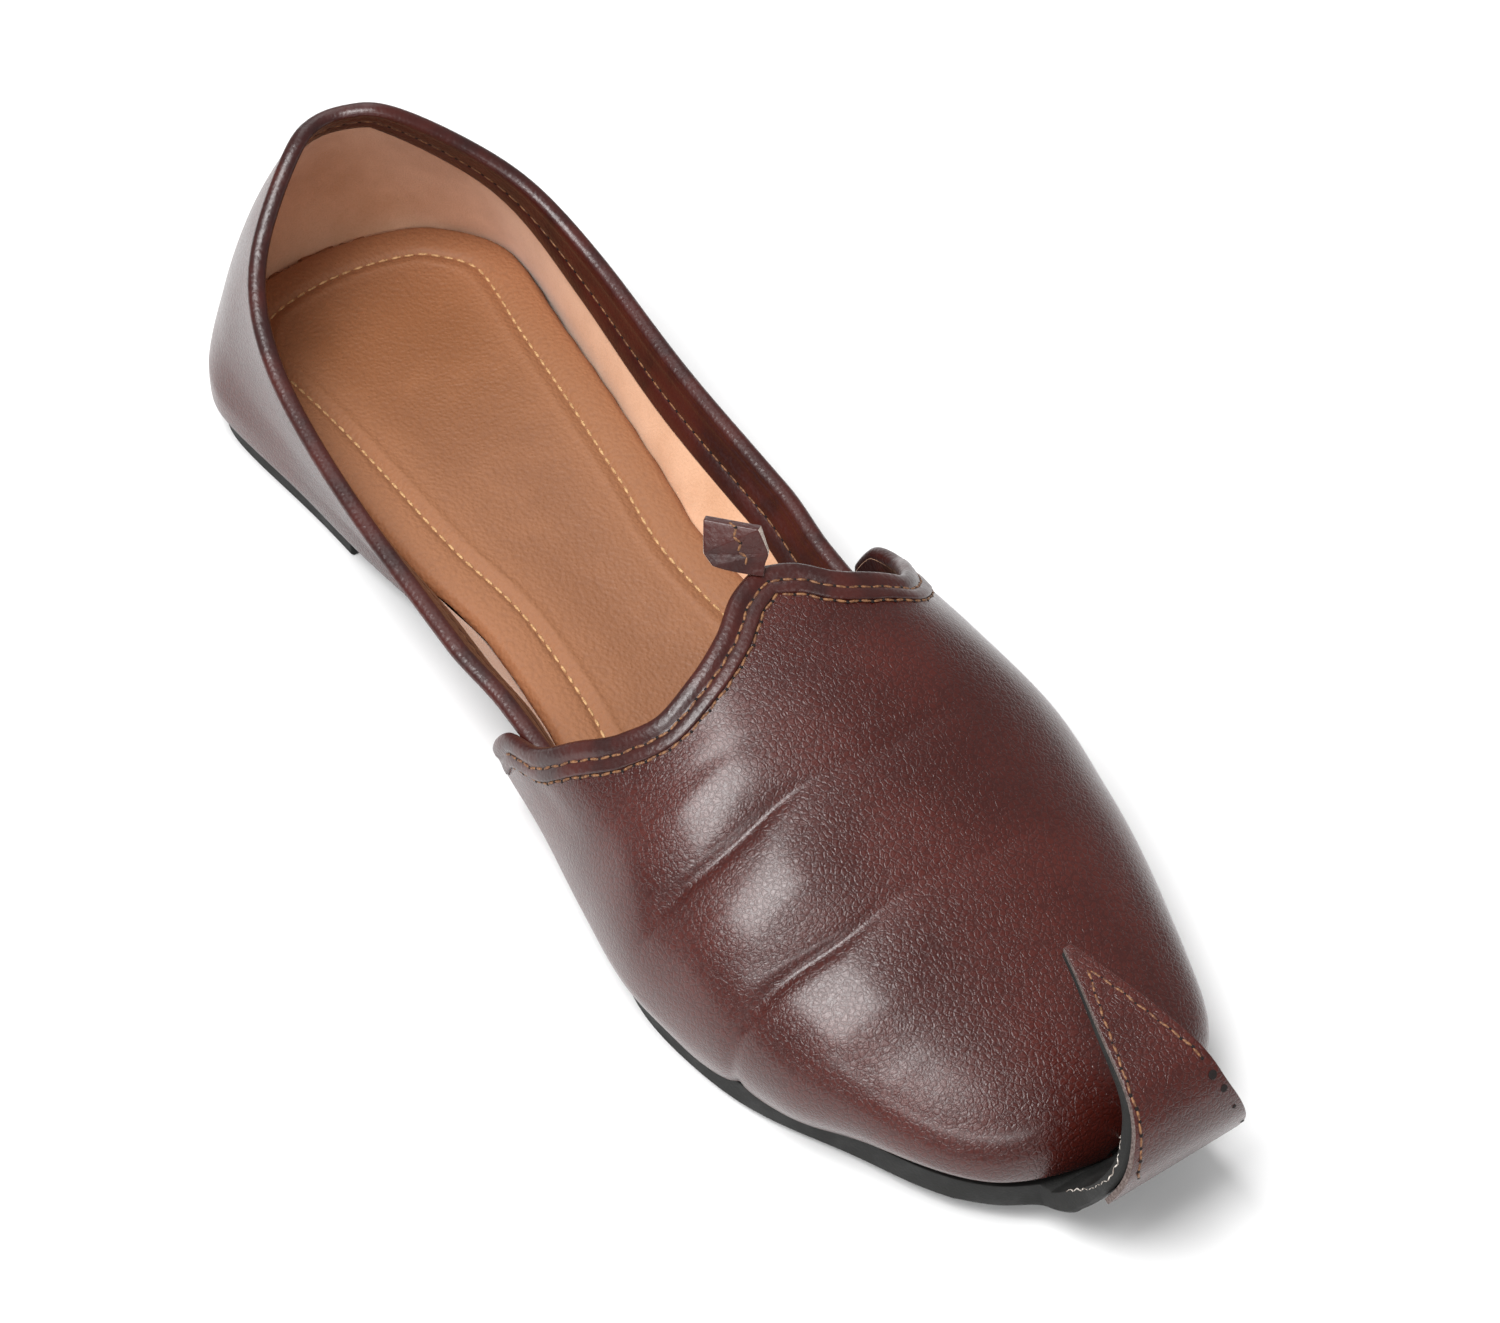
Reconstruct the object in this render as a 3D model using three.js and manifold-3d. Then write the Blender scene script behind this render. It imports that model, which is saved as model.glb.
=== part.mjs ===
// A mojari: a low leather slip-on shoe with a curled nose, here the one for the right foot.
// Millimetres. X runs from heel to toe, Y to the inner side of the foot, Z up from the floor.
import * as THREE from 'three';
import { mergeVertices } from 'three/addons/utils/BufferGeometryUtils.js';
import Module from 'manifold-3d';

const wasm = await Module();
wasm.setup();

// Lengths and widths of the last, the form that the shoe is made on
const lastLength = 268;
const ballWidth = 88;
const waistWidth = 50.5;
const heelWidth = 72;
const vampWidth = 94;
const toplineWidth = 74;
const instepHeight = 57;
const instepSwing = 4.5;
const backHeight = 61.4;
const sideHeight = 30.5;
const toeSwing = 4.6;
const backLean = 12.5;
const backBulge = 2;
const sideBulge = 0.2;
const bellyLow = 0.6;

// Sole, heel block and insole
const soleThickness = 6.4;
const heelLift = 6.6;
const heelBreast = 67;
const archLength = 95;
const springStart = 185;
const toeSpring = 6;
const soleInset = 0.7;
const toeWelt = 2;
const heelInset = 1.2;
const insoleThickness = 4.2;
const insoleGap = 0.9;
const insoleToeGap = 9;
const insoleRound = 1.4;
const soleRound = 0.7;

// Leather, rolled edges and the gap between pieces that touch
const wall = 2;
const seat = 0.3;
const bindingThickness = 0.8;
const beadRise = 1.3;
const facingWidth = 10;
const throatBand = 4.6;
const beadLeg = 1;
const wingFlareLength = 13;
const wingTuck = 1.3;
const wingTuckLength = 16;

// Curled nose and its leather strap
const noseWidth = 28.4;
const noseReach = 9;
const noseHeight = 31.2;
const noseBack = 21;
const strapThickness = 1.2;
const strapStart = 0.27;

// Small tab that stands on the peak of the throat
const tabWidth = 11.6;
const tabHeight = 9;
const tabThickness = 2.2;
const tabLean = 32;
const tabTurn = 26;
const tabTwist = 22;
const tabShift = 1.8;

// Fineness of the curved surfaces
const vampRows = 40;
const vampColumns = 22;
const quarterRows = 6;
const quarterColumns = 54;
const soleColumns = 46;
const noseColumns = 26;
const beadSteps = 4;

// Outline of the feather line, where the upper meets the sole.
// at: share of the length. half: half width. shift: centre line towards the inner side.
const outline = [
  { at: 0, half: 0, shift: 0 },
  { at: 0.0245, half: 0.711 * heelWidth / 2, shift: 0.04 * toeSwing },
  { at: 0.0955, half: heelWidth / 2, shift: 0.17 * toeSwing },
  { at: 0.206, half: 0.905 * heelWidth / 2, shift: 0.02 * toeSwing },
  { at: 0.3455, half: 1.128 * waistWidth / 2, shift: -0.28 * toeSwing },
  { at: 0.4218, half: waistWidth / 2, shift: -0.22 * toeSwing },
  { at: 0.5, half: 1.06 * waistWidth / 2, shift: -0.15 * toeSwing },
  { at: 0.5782, half: 0.735 * ballWidth / 2, shift: -0.15 * toeSwing },
  { at: 0.6545, half: 0.89 * ballWidth / 2, shift: -0.14 * toeSwing },
  { at: 0.727, half: ballWidth / 2, shift: -0.04 * toeSwing },
  { at: 0.794, half: 0.962 * ballWidth / 2, shift: 0.05 * toeSwing },
  { at: 0.9045, half: 0.69 * ballWidth / 2, shift: 0.34 * toeSwing },
  { at: 0.9755, half: 0.41 * ballWidth / 2, shift: 0.76 * toeSwing },
  { at: 1, half: 0, shift: toeSwing },
];

// Vamp: the half width at its fullest, and the height of its ridge above the floor.
const vampForm = [
  { at: 0.4, full: 0.74 * vampWidth / 2, ridge: 1.08 * instepHeight },
  { at: 0.5, full: 0.79 * vampWidth / 2, ridge: 1.055 * instepHeight },
  { at: 0.5782, full: 0.865 * vampWidth / 2, ridge: 1.005 * instepHeight },
  { at: 0.6545, full: 0.945 * vampWidth / 2, ridge: 0.93 * instepHeight },
  { at: 0.727, full: vampWidth / 2, ridge: 0.82 * instepHeight },
  { at: 0.794, full: 0.945 * vampWidth / 2, ridge: 0.71 * instepHeight },
  { at: 0.9045, full: 0.732 * vampWidth / 2, ridge: 0.547 * instepHeight },
  { at: 0.9755, full: 0.5 * vampWidth / 2, ridge: 0.43 * instepHeight },
  { at: 1, full: 0, ridge: 0.232 * instepHeight },
];
const vampRoundness = 2.24;
const fullHeight = 8.1;
const fullShare = 0.82;
const toeRound = 25;

// Edge of the vamp. girth: 0 on the ridge, 1 at the feather line. at: share of the length.
const throat = [
  { girth: 0, at: 0.593 },
  { girth: 0.06, at: 0.602 },
  { girth: 0.13, at: 0.62 },
  { girth: 0.22, at: 0.633 },
  { girth: 0.32, at: 0.639 },
  { girth: 0.43, at: 0.627 },
  { girth: 0.54, at: 0.601 },
  { girth: 0.64, at: 0.574 },
  { girth: 0.72, at: 0.536 },
  { girth: 0.84, at: 0.518 },
  { girth: 1, at: 0.512 },
];

// Topline of the quarter: half width and height above the floor.
const topline = [
  { at: 0, half: 0, height: backHeight },
  { at: 0.01, half: 0.15 * toplineWidth / 2, height: 1.004 * backHeight },
  { at: 0.0351, half: 0.3 * toplineWidth / 2, height: 1.022 * backHeight },
  { at: 0.07, half: 0.62 * toplineWidth / 2, height: 0.85 * backHeight },
  { at: 0.1147, half: 0.84 * toplineWidth / 2, height: 0.757 * backHeight },
  { at: 0.2321, half: 0.995 * toplineWidth / 2, height: 1.177 * sideHeight },
  { at: 0.3757, half: toplineWidth / 2, height: sideHeight },
  { at: 0.5, half: 1.01 * toplineWidth / 2, height: 0.85 * sideHeight },
  { at: 0.5782, half: 1.0 * toplineWidth / 2, height: 0.76 * sideHeight },
];

// Wings, the ends of the vamp that lap over the quarter. outer, inner: how far the edge stands
// out on each side of the foot, in step with the width of the vamp.
const wingForm = [
  { girth: 0.2, outer: 0, inner: 0 },
  { girth: 0.4, outer: 0, inner: -0.016 * vampWidth },
  { girth: 0.52, outer: 0.007 * vampWidth, inner: -0.021 * vampWidth },
  { girth: 0.62, outer: 0.021 * vampWidth, inner: -0.003 * vampWidth },
  { girth: 0.72, outer: 0.028 * vampWidth, inner: 0.028 * vampWidth },
  { girth: 0.8, outer: 0.019 * vampWidth, inner: 0.032 * vampWidth },
  { girth: 0.9, outer: 0.006 * vampWidth, inner: 0.015 * vampWidth },
  { girth: 1, outer: 0, inner: 0 },
];
const quarterEnd = 0.572;
const throatEnd = 0.8;
const throatBlend = 0.08;

// Tab. up: share of its height. outer, inner: how far it reaches to each side of its seam.
const tabOutline = [
  { up: 0, outer: 0.24 * tabWidth, inner: 0.2 * tabWidth },
  { up: 0.14, outer: 0.5 * tabWidth, inner: 0.3 * tabWidth },
  { up: 0.38, outer: 0.58 * tabWidth, inner: 0.42 * tabWidth },
  { up: 1, outer: 0.43 * tabWidth, inner: 0.43 * tabWidth },
];

// Inner face of the nose, seen from the side. along: forward of the toe as a share of the
// reach, or back over the toe as a share of noseBack. up: share of the height above the sole.
const noseCurve = [
  { along: 0.22 * noseReach, up: 0.09 },
  { along: 0.47 * noseReach, up: 0.186 },
  { along: 0.69 * noseReach, up: 0.288 },
  { along: 0.88 * noseReach, up: 0.41 },
  { along: noseReach, up: 0.564 },
  { along: 0.82 * noseReach, up: 0.705 },
  { along: 0.56 * noseReach, up: 0.824 },
  { along: -0.15 * noseBack, up: 0.92 },
  { along: -0.75 * noseBack, up: 0.987 },
  { along: -noseBack, up: 1 },
];

// Rubber of the nose. at: share of the way to its tip. thick: share of the sole's thickness.
// wide: share of the nose's width.
const noseForm = [
  { at: 0, thick: 0.85, wide: 1.14 },
  { at: 0.1, thick: 0.64, wide: 1.06 },
  { at: 0.2, thick: 0.51, wide: 1.01 },
  { at: 0.28, thick: 0.41, wide: 0.97 },
  { at: 0.335, thick: 0.4, wide: 0.94 },
  { at: 0.45, thick: 0.38, wide: 0.73 },
  { at: 0.57, thick: 0.3, wide: 0.56 },
  { at: 0.74, thick: 0.18, wide: 0.373 },
  { at: 0.92, thick: 0.15, wide: 0.148 },
  { at: 1, thick: 0.13, wide: 0.055 },
];
const leadIn = 6;

const leather = new THREE.MeshStandardMaterial({ color: 0x5a2d26, roughness: 0.42 });
const edgeLeather = new THREE.MeshStandardMaterial({ color: 0x4c2622, roughness: 0.4 });
const strapLeather = new THREE.MeshStandardMaterial({ color: 0x562a23, roughness: 0.4 });
const insoleLeather = new THREE.MeshStandardMaterial({ color: 0xa5714c, roughness: 0.62 });
const rubber = new THREE.MeshStandardMaterial({ color: 0x242422, roughness: 0.75 });

const clamp = THREE.MathUtils.clamp;
const smoothstep = THREE.MathUtils.smoothstep;

// Angle of a place along the last, so that both ends come out round.
function station(at) {
  return Math.acos(1 - 2 * clamp(at, 0, 1)) / Math.PI;
}

function placeOf(angle) {
  return (1 - Math.cos(Math.PI * angle)) / 2;
}

// Smooth curve through the rows of a table that never swings past a row.
function curveThrough(rows, key, column, measure = (value) => value) {
  const x = rows.map((row) => measure(row[key]));
  const y = rows.map((row) => row[column]);
  const last = rows.length - 1;
  const step = x.slice(1).map((value, i) => value - x[i]);
  const rise = step.map((width, i) => (y[i + 1] - y[i]) / width);
  const slope = y.map((value, i) => {
    if (i === 0) return rise[0];
    if (i === last) return rise[last - 1];
    if (rise[i - 1] * rise[i] <= 0) return 0;
    const before = 2 * step[i] + step[i - 1];
    const after = step[i] + 2 * step[i - 1];
    return (before + after) / (before / rise[i - 1] + after / rise[i]);
  });
  return (value) => {
    const at = clamp(value, x[0], x[last]);
    let i = 0;
    while (i < last - 1 && at > x[i + 1]) i += 1;
    const t = (at - x[i]) / step[i];
    const start = y[i] * (1 + 2 * t) * (1 - t) ** 2 + y[i + 1] * t * t * (3 - 2 * t);
    const bend = slope[i] * t * (1 - t) ** 2 - slope[i + 1] * t * t * (1 - t);
    return start + bend * step[i];
  };
}

const featherHalf = curveThrough(outline, 'at', 'half', station);
const centreShift = curveThrough(outline, 'at', 'shift', station);
const vampFull = curveThrough(vampForm, 'at', 'full', station);
const vampRidge = curveThrough(vampForm, 'at', 'ridge', station);
const toplineHalf = curveThrough(topline, 'at', 'half', station);
const toplineHeight = curveThrough(topline, 'at', 'height', station);
const throatAt = curveThrough(throat, 'girth', 'at');
const outerWing = curveThrough(wingForm, 'girth', 'outer');
const innerWing = curveThrough(wingForm, 'girth', 'inner');
const noseThick = curveThrough(noseForm, 'at', 'thick');
const noseWide = curveThrough(noseForm, 'at', 'wide');

// Height of the sole's upper face: it drops from the heel to the ball and springs at the toe.
function soleTop(x) {
  const drop = smoothstep(x, heelBreast, heelBreast + archLength);
  const spring = clamp((x - springStart) / (lastLength - springStart), 0, 1) ** 2;
  return soleThickness + heelLift * (1 - drop) + toeSpring * spring;
}

function footOf(x) {
  return soleTop(x) + seat;
}

// Point on the outside of the vamp. girth runs from -1, outer side, over the ridge to 1.
function vampPoint(angle, girth) {
  const x = lastLength * placeOf(angle);
  const side = Math.sign(girth);
  const reach = Math.abs(girth);
  const foot = footOf(x);
  const full = vampFull(angle);
  const low = foot + fullHeight * Math.sqrt(clamp((lastLength - x) / toeRound, 0, 1));
  const ridge = Math.max(vampRidge(angle), low);
  let y = 0;
  let z = 0;
  if (reach < fullShare) {
    const turn = reach / fullShare * Math.PI / 2;
    y = full * Math.sin(turn) ** (2 / vampRoundness);
    z = low + (ridge - low) * Math.cos(turn) ** (2 / vampRoundness);
  } else {
    const down = (reach - fullShare) / (1 - fullShare);
    y = full + (featherHalf(angle) - full) * down ** 2;
    z = low + (foot - low) * down;
  }
  const edge = lastLength * throatAt(reach);
  const near = Math.exp(-(((x - edge) / wingFlareLength) ** 2));
  const wing = near * (side > 0 ? innerWing : outerWing)(reach);
  const swing = instepSwing * (1 - smoothstep(x, 0.6 * lastLength, 0.95 * lastLength));
  const middle = centreShift(angle) + swing * Math.cos(reach * Math.PI / 2) ** 2;
  return new THREE.Vector3(x, middle + side * (y + wing), z);
}

// Point on the outside of the quarter. round: -1 outer front end, 0 back seam, 1 inner front
// end. rise: 0 at the feather line, 1 at the topline.
function quarterPoint(round, rise) {
  const angle = Math.abs(round) * station(quarterEnd);
  const side = Math.sign(round);
  const x = lastLength * placeOf(angle);
  const foot = footOf(x);
  const low = featherHalf(angle);
  const high = toplineHalf(angle);
  const back = clamp(1 - x / (0.22 * lastLength), 0, 1) ** 2;
  const belly = Math.sin(Math.PI * Math.max(rise, 0) ** bellyLow);
  const sides = sideBulge * clamp(1 - x / (0.55 * lastLength), 0, 1);
  const bulge = sides * belly * clamp(Math.min(low, high) / 25, 0, 1);
  const wing = lastLength * throatAt(1);
  const tuck = wingTuck * smoothstep(x, wing - wingTuckLength, wing) * smoothstep(rise, 0, 0.4);
  const y = low + (high - low) * rise + bulge - tuck;
  const lean = backLean * rise * (3 * rise - 1) / 2 - backBulge * belly;
  const z = foot + (toplineHeight(angle) - foot) * rise;
  return new THREE.Vector3(x + back * lean, centreShift(angle) + side * y, z);
}

// Normal of a surface given by pointAt(a, b).
function normalOf(pointAt, a, b) {
  const tiny = 1e-3;
  const alongA = pointAt(a + tiny, b).sub(pointAt(a - tiny, b));
  const alongB = pointAt(a, b + tiny).sub(pointAt(a, b - tiny));
  return alongA.cross(alongB).normalize();
}

// Direction in which the leather of the vamp gets its thickness, level at the feather line.
function vampNormal(angle, girth) {
  if (angle >= 1) return new THREE.Vector3(1, 0, 0);
  const normal = normalOf(vampPoint, angle, clamp(girth, -0.995, 0.995));
  return Math.abs(girth) === 1 ? normal.setZ(0).normalize() : normal;
}

function quarterNormal(round, rise) {
  return normalOf(quarterPoint, round, rise).negate().setZ(0).normalize();
}

// Step along a surface: from the point at (a, b), at a right angle to an edge that runs in
// the direction "edge", by a distance. The result is the new pair and the direction taken.
function stepFrom(pointAt, a, b, edge, normal) {
  const tiny = 1e-3;
  const alongA = pointAt(a + tiny, b).sub(pointAt(a - tiny, b)).divideScalar(2 * tiny);
  const alongB = pointAt(a, b + tiny).sub(pointAt(a, b - tiny)).divideScalar(2 * tiny);
  const across = new THREE.Vector3().crossVectors(normal, edge).normalize();
  const aa = alongA.dot(alongA);
  const ab = alongA.dot(alongB);
  const bb = alongB.dot(alongB);
  const pa = across.dot(alongA);
  const pb = across.dot(alongB);
  const whole = aa * bb - ab * ab;
  return { across, da: (pa * bb - pb * ab) / whole, db: (pb * aa - pa * ab) / whole };
}

// Closed body from a list of triangles, each three points.
function bodyFrom(triangles) {
  const geometry = new THREE.BufferGeometry();
  const numbers = new Float32Array(triangles.flat().flatMap((p) => [p.x, p.y, p.z]));
  geometry.setAttribute('position', new THREE.BufferAttribute(numbers, 3));
  return mergeVertices(geometry, 1e-4);
}

// Two triangles for each cell of a net of points, with empty ones left out.
function faceNet(net, flip) {
  const faces = [];
  const add = (p, q, r) => {
    const same = p.distanceTo(q) < 1e-4 || q.distanceTo(r) < 1e-4 || r.distanceTo(p) < 1e-4;
    if (!same) faces.push(flip ? [p, r, q] : [p, q, r]);
  };
  for (let i = 0; i + 1 < net.length; i += 1) {
    for (let j = 0; j + 1 < net[i].length; j += 1) {
      add(net[i][j], net[i + 1][j], net[i + 1][j + 1]);
      add(net[i][j], net[i + 1][j + 1], net[i][j + 1]);
    }
  }
  return faces;
}

// Wall between two nets of the same size, closed all the way round its rim.
function wallBetween(outer, inner, flip) {
  const hasArea = ([p, q, r]) => q.clone().sub(p).cross(r.clone().sub(p)).length() > 1e-6;
  const rim = (line, other) => {
    const faces = faceNet([line, other], flip);
    return faces.some(hasArea) ? faces : [];
  };
  const first = (net) => net.map((row) => row[0]);
  const final = (net) => net.map((row) => row[row.length - 1]);
  const end = outer.length - 1;
  return [
    ...faceNet(outer, flip),
    ...faceNet(inner, !flip),
    ...rim(outer[0], inner[0]).map(([p, q, r]) => [p, r, q]),
    ...rim(outer[end], inner[end]),
    ...rim(first(outer), first(inner)),
    ...rim(final(outer), final(inner)).map(([p, q, r]) => [p, r, q]),
  ];
}

// Body through sections, each with an outer and an inner line of the same number of points.
function bodyThrough(sections, flip) {
  const outer = sections.map((section) => section.outer);
  const inner = sections.map((section) => section.inner);
  return bodyFrom(wallBetween(outer, inner, flip));
}

function solidOf(body) {
  const vertProperties = new Float32Array(body.attributes.position.array);
  const triVerts = new Uint32Array(body.index.array);
  return new wasm.Manifold(new wasm.Mesh({ numProp: 3, vertProperties, triVerts }));
}

function geometryOf(solid) {
  const mesh = solid.getMesh();
  const geometry = new THREE.BufferGeometry();
  geometry.setAttribute('position', new THREE.BufferAttribute(mesh.vertProperties, 3));
  geometry.setIndex(new THREE.BufferAttribute(mesh.triVerts, 1));
  return geometry;
}

// Wall with its outside on pointAt(a, b), one thickness of leather deep. Each line is a list
// of pairs (a, b).
function leatherWall(lines, pointAt, normalAt) {
  const outer = lines.map((line) => line.map(([a, b]) => pointAt(a, b)));
  const inner = lines.map((line, i) => line.map(([a, b], j) => {
    return outer[i][j].clone().addScaledVector(normalAt(a, b), -wall);
  }));
  return solidOf(bodyFrom(wallBetween(outer, inner, true)));
}

// The vamp, from its throat edge to the toe.
function vampWall() {
  const lines = [];
  for (let j = 0; j <= vampRows; j += 1) {
    const girth = -1 + 2 * j / vampRows;
    const start = station(throatAt(Math.abs(girth)));
    const line = [];
    for (let i = 0; i <= vampColumns; i += 1) line.push([start + (1 - start) * i / vampColumns, girth]);
    lines.push(line);
  }
  return leatherWall(lines, vampPoint, vampNormal);
}

// The quarter, one piece round the heel. Its front ends lie inside the wings of the vamp.
function quarterWall() {
  const lines = [];
  for (let i = 0; i <= quarterColumns; i += 1) {
    const round = -1 + 2 * i / quarterColumns;
    const line = [];
    for (let j = 0; j <= quarterRows; j += 1) line.push([round, j / quarterRows]);
    lines.push(line);
  }
  return leatherWall(lines, quarterPoint, quarterNormal);
}

const upperSolid = vampWall().add(quarterWall());

// How far the sole's edge lies inside the feather line. Round the toe it stands out past it.
function soleEdge(x) {
  return soleInset - (soleInset + toeWelt) * smoothstep(x, 0.87 * lastLength, 0.965 * lastLength);
}

// Outline of a flat piece in the shoe, a given distance inside the feather line.
function insetOutline(angle, inset) {
  const tiny = 1e-3;
  const run = lastLength * (placeOf(angle + tiny) - placeOf(angle - tiny));
  const low = featherHalf(angle - tiny);
  const spread = featherHalf(angle + tiny) - (angle < tiny ? -low : low);
  const size = Math.hypot(run, spread);
  const x = lastLength * placeOf(angle) + inset * spread / size;
  const half = Math.max(featherHalf(angle) - inset * run / size, 0);
  return { x, half, shift: centreShift(angle) };
}

// Section across a flat piece: its lower line and its upper line, with eased corners.
function plateSection({ x, half, shift }, low, high, easeLow, easeHigh) {
  const line = (end, edge, ease) => [-1, -1, 1, 1].map((side, k) => {
    const outermost = k === 0 || k === 3;
    const y = shift + side * Math.max(half - (outermost ? 0 : ease), 0);
    return new THREE.Vector3(x, y, outermost ? edge : end);
  });
  return { outer: line(low, low + easeLow, easeLow), inner: line(high, high - easeHigh, easeHigh) };
}

// Place along the last where the sole has narrowed to the width of the nose.
function noseRoot() {
  let low = station(0.9);
  let high = 1;
  for (let k = 0; k < 30; k += 1) {
    const middle = (low + high) / 2;
    if (insetOutline(middle, -toeWelt).half > noseWidth * noseWide(0) / 2) low = middle;
    else high = middle;
  }
  return low;
}

const rootAngle = noseRoot();
const rootX = insetOutline(rootAngle, -toeWelt).x;
const toeTop = soleTop(lastLength);
const noseLine = new THREE.CatmullRomCurve3([
  new THREE.Vector3(rootX - leadIn, 0, soleTop(rootX - leadIn)),
  new THREE.Vector3(rootX, 0, soleTop(rootX)),
  new THREE.Vector3(lastLength, 0, toeTop),
  ...noseCurve.map(({ along, up }) => new THREE.Vector3(lastLength + along, 0, toeTop + noseHeight * up)),
], false, 'centripetal');
const noseStart = leadIn / noseLine.getLength();

// Section across the nose: its outer line, eased as the sole is, and a line at another depth.
function noseSection(share, outerDepth, innerDepth, ease) {
  const run = noseStart + (1 - noseStart) * share;
  const point = noseLine.getPointAt(run);
  const forward = noseLine.getTangentAt(run);
  const outward = new THREE.Vector3(forward.z, 0, -forward.x);
  const half = noseWidth * noseWide(share) / 2;
  const line = (depth, edge, trim) => [-1, -1, 1, 1].map((side, k) => {
    const outermost = k === 0 || k === 3;
    const place = point.clone().addScaledVector(outward, outermost ? edge : depth);
    return place.setY(toeSwing + side * Math.max(half - (outermost ? 0 : trim), 0));
  });
  return { outer: line(outerDepth, outerDepth - ease, ease), inner: line(innerDepth, innerDepth, 0) };
}

// Rubber sole: one sheet from heel to toe that runs on into the curled nose.
function outsoleBody() {
  const sections = [];
  for (let i = 0; i < soleColumns; i += 1) {
    const angle = rootAngle * i / soleColumns;
    const place = insetOutline(angle, soleEdge(lastLength * placeOf(angle)));
    const top = soleTop(place.x);
    sections.push(plateSection(place, top - soleThickness, top, soleRound, 0));
  }
  for (let i = 0; i <= noseColumns; i += 1) {
    const share = i / noseColumns;
    const thickness = soleThickness * noseThick(share);
    sections.push(noseSection(share, thickness, 0, Math.min(soleRound, thickness / 3)));
  }
  return bodyThrough(sections, true);
}

// Heel block under the back of the sole, cut straight across at the breast.
function heelBody() {
  const sections = [];
  const end = station(heelBreast / lastLength);
  for (let i = 0; i <= soleColumns / 2; i += 1) {
    const place = insetOutline(end * 2 * i / soleColumns, heelInset);
    sections.push(plateSection(place, 0, heelLift - seat, soleRound, 0));
  }
  return bodyThrough(sections, true);
}

// Padded insole that fills the bottom of the upper and lies on the sole.
function insoleBody() {
  const sections = [];
  for (let i = 0; i <= soleColumns; i += 1) {
    const place = insetOutline(i / soleColumns, wall + insoleGap);
    place.x -= insoleToeGap * smoothstep(place.x, 0.8 * lastLength, lastLength);
    const low = footOf(place.x);
    sections.push(plateSection(place, low, low + insoleThickness, 0, insoleRound));
  }
  return bodyThrough(sections, true);
}

// Place on a wall near its edge. depth: down from the edge. out: out from its outer face.
function placeOnWall({ pointAt, normalAt, a, b, across, da, db }, depth, out) {
  if (depth <= 0) {
    const past = pointAt(a, b).addScaledVector(across, depth);
    return past.addScaledVector(normalAt(a, b), out);
  }
  const [c, d] = [a + da * depth, b + db * depth];
  return pointAt(c, d).addScaledVector(normalAt(c, d), out);
}

function edgeFrame(pointAt, normalAt, a, b, edge) {
  return { pointAt, normalAt, a, b, ...stepFrom(pointAt, a, b, edge, normalAt(a, b)) };
}

function quarterFrame(round) {
  const tiny = 1e-3;
  const edge = quarterPoint(round + tiny, 1).sub(quarterPoint(round - tiny, 1));
  return edgeFrame(quarterPoint, quarterNormal, round, 1, edge);
}

function throatPoint(girth) {
  return vampPoint(station(throatAt(Math.abs(girth))), girth);
}

function throatFrame(girth) {
  const edge = throatPoint(girth - throatBlend).sub(throatPoint(girth + throatBlend));
  return edgeFrame(vampPoint, vampNormal, station(throatAt(Math.abs(girth))), girth, edge);
}

// Rolled edge over the rim of a wall, with a leg down its outside and one down its inside.
function bindingSection(frame, outerLeg, innerLeg) {
  const outside = seat + bindingThickness;
  const inside = innerLeg > 0 ? -wall - seat - bindingThickness : -wall;
  const hidden = innerLeg > 0 ? -wall - seat : -wall;
  const middle = (outside + inside) / 2;
  const radius = (outside - inside) / 2;
  const outer = [1, 0.5].map((share) => placeOnWall(frame, share * outerLeg, outside));
  const inner = [1, 0.5].map((share) => placeOnWall(frame, share * outerLeg, seat));
  for (let k = 0; k <= beadSteps; k += 1) {
    const turn = Math.PI * k / beadSteps;
    const over = -seat * k / beadSteps - beadRise * Math.sin(turn);
    outer.push(placeOnWall(frame, over, middle + radius * Math.cos(turn)));
    inner.push(placeOnWall(frame, -seat, seat + (hidden - seat) * k / beadSteps));
  }
  if (innerLeg > 0) {
    outer.push(...[0.5, 1].map((share) => placeOnWall(frame, share * innerLeg, inside)));
    inner.push(...[0.5, 1].map((share) => placeOnWall(frame, share * innerLeg, hidden)));
  }
  return { outer, inner };
}

// Bead round the topline with its facing, the band of leather turned down inside.
function toplineBindingBody() {
  const sections = [];
  for (let i = 1; i < quarterColumns; i += 1) {
    const round = -1 + 2 * i / quarterColumns;
    sections.push(bindingSection(quarterFrame(round), beadLeg, facingWidth));
  }
  return bodyThrough(sections, true);
}

// Band round the throat: the turned edge of the vamp, sewn down on the outside.
function throatBindingBody() {
  const sections = [];
  const cut = Math.round(vampRows * (1 - throatEnd) / 2);
  for (let j = cut; j <= vampRows - cut; j += 1) {
    const girth = -1 + 2 * j / vampRows;
    sections.push(bindingSection(throatFrame(girth), throatBand, 0));
  }
  return bodyThrough(sections, false);
}

// Strap of leather on the outer face of the nose, cut to the same point.
function toeStrapBody() {
  const sections = [];
  for (let i = Math.round(strapStart * noseColumns); i <= noseColumns; i += 1) {
    const share = i / noseColumns;
    const depth = soleThickness * noseThick(share) + seat;
    sections.push(noseSection(share, depth + strapThickness, depth, 0));
  }
  return bodyThrough(sections, true);
}

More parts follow.
